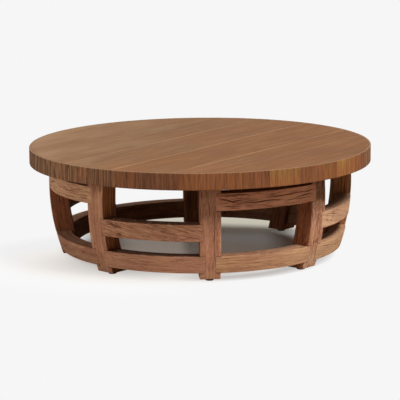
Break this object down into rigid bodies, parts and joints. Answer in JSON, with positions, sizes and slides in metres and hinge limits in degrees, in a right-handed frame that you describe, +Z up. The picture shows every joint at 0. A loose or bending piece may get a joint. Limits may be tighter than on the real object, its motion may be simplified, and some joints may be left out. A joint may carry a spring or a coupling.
{
  "type": "round coffee table",
  "caption": "Low round reclaimed-timber coffee table: thick plank top with a vertical-grain edge on an open barrel base of bowed posts and curved rails.",
  "frame": {"origin": "centre of the footprint on the floor, under the middle of the table", "axes": "+Z up; -Y is the front, where post 1 stands; +X to the right seen from the front"},
  "size_m": [1.1996, 1.1996, 0.388],
  "materials": {
    "top_timber": "satin",
    "rim_timber": "wire brushed",
    "base_timber": "hewn",
    "hidden_timber": "sawn",
    "glide": "matt"
  },
  "bodies": {
    "root": {"post_1": "base_timber", "post_2": "base_timber", "post_3": "base_timber", "post_4": "base_timber", "post_5": "base_timber", "post_6": "base_timber", "post_7": "base_timber", "post_8": "base_timber", "bottom_rail_1": "base_timber", "bottom_rail_2": "base_timber", "bottom_rail_3": "base_timber", "bottom_rail_4": "base_timber", "bottom_rail_5": "base_timber", "bottom_rail_6": "base_timber", "bottom_rail_7": "base_timber", "bottom_rail_8": "base_timber", "middle_rail_2": "base_timber", "middle_rail_4": "base_timber", "middle_rail_6": "base_timber", "middle_rail_8": "base_timber", "top_rail_1": "base_timber", "top_rail_3": "base_timber", "top_rail_5": "base_timber", "top_rail_7": "base_timber", "top_plank_1": "top_timber", "top_plank_2": "top_timber", "top_plank_3": "top_timber", "top_plank_4": "top_timber", "top_plank_5": "top_timber", "top_plank_6": "top_timber", "top_plank_7": "top_timber", "top_plank_8": "top_timber", "edge_band_1": "rim_timber", "edge_band_2": "rim_timber", "edge_band_3": "rim_timber", "edge_band_4": "rim_timber", "edge_band_5": "rim_timber", "edge_band_6": "rim_timber", "edge_band_7": "rim_timber", "edge_band_8": "rim_timber", "rim_block_1": "hidden_timber", "rim_block_2": "hidden_timber", "rim_block_3": "hidden_timber", "rim_block_4": "hidden_timber", "rim_block_5": "hidden_timber", "rim_block_6": "hidden_timber", "rim_block_7": "hidden_timber", "rim_block_8": "hidden_timber", "batten_1": "hidden_timber", "batten_2": "hidden_timber", "glide_1": "glide", "glide_2": "glide", "glide_3": "glide", "glide_4": "glide", "glide_5": "glide", "glide_6": "glide", "glide_7": "glide", "glide_8": "glide"}
  },
  "joints": []
}
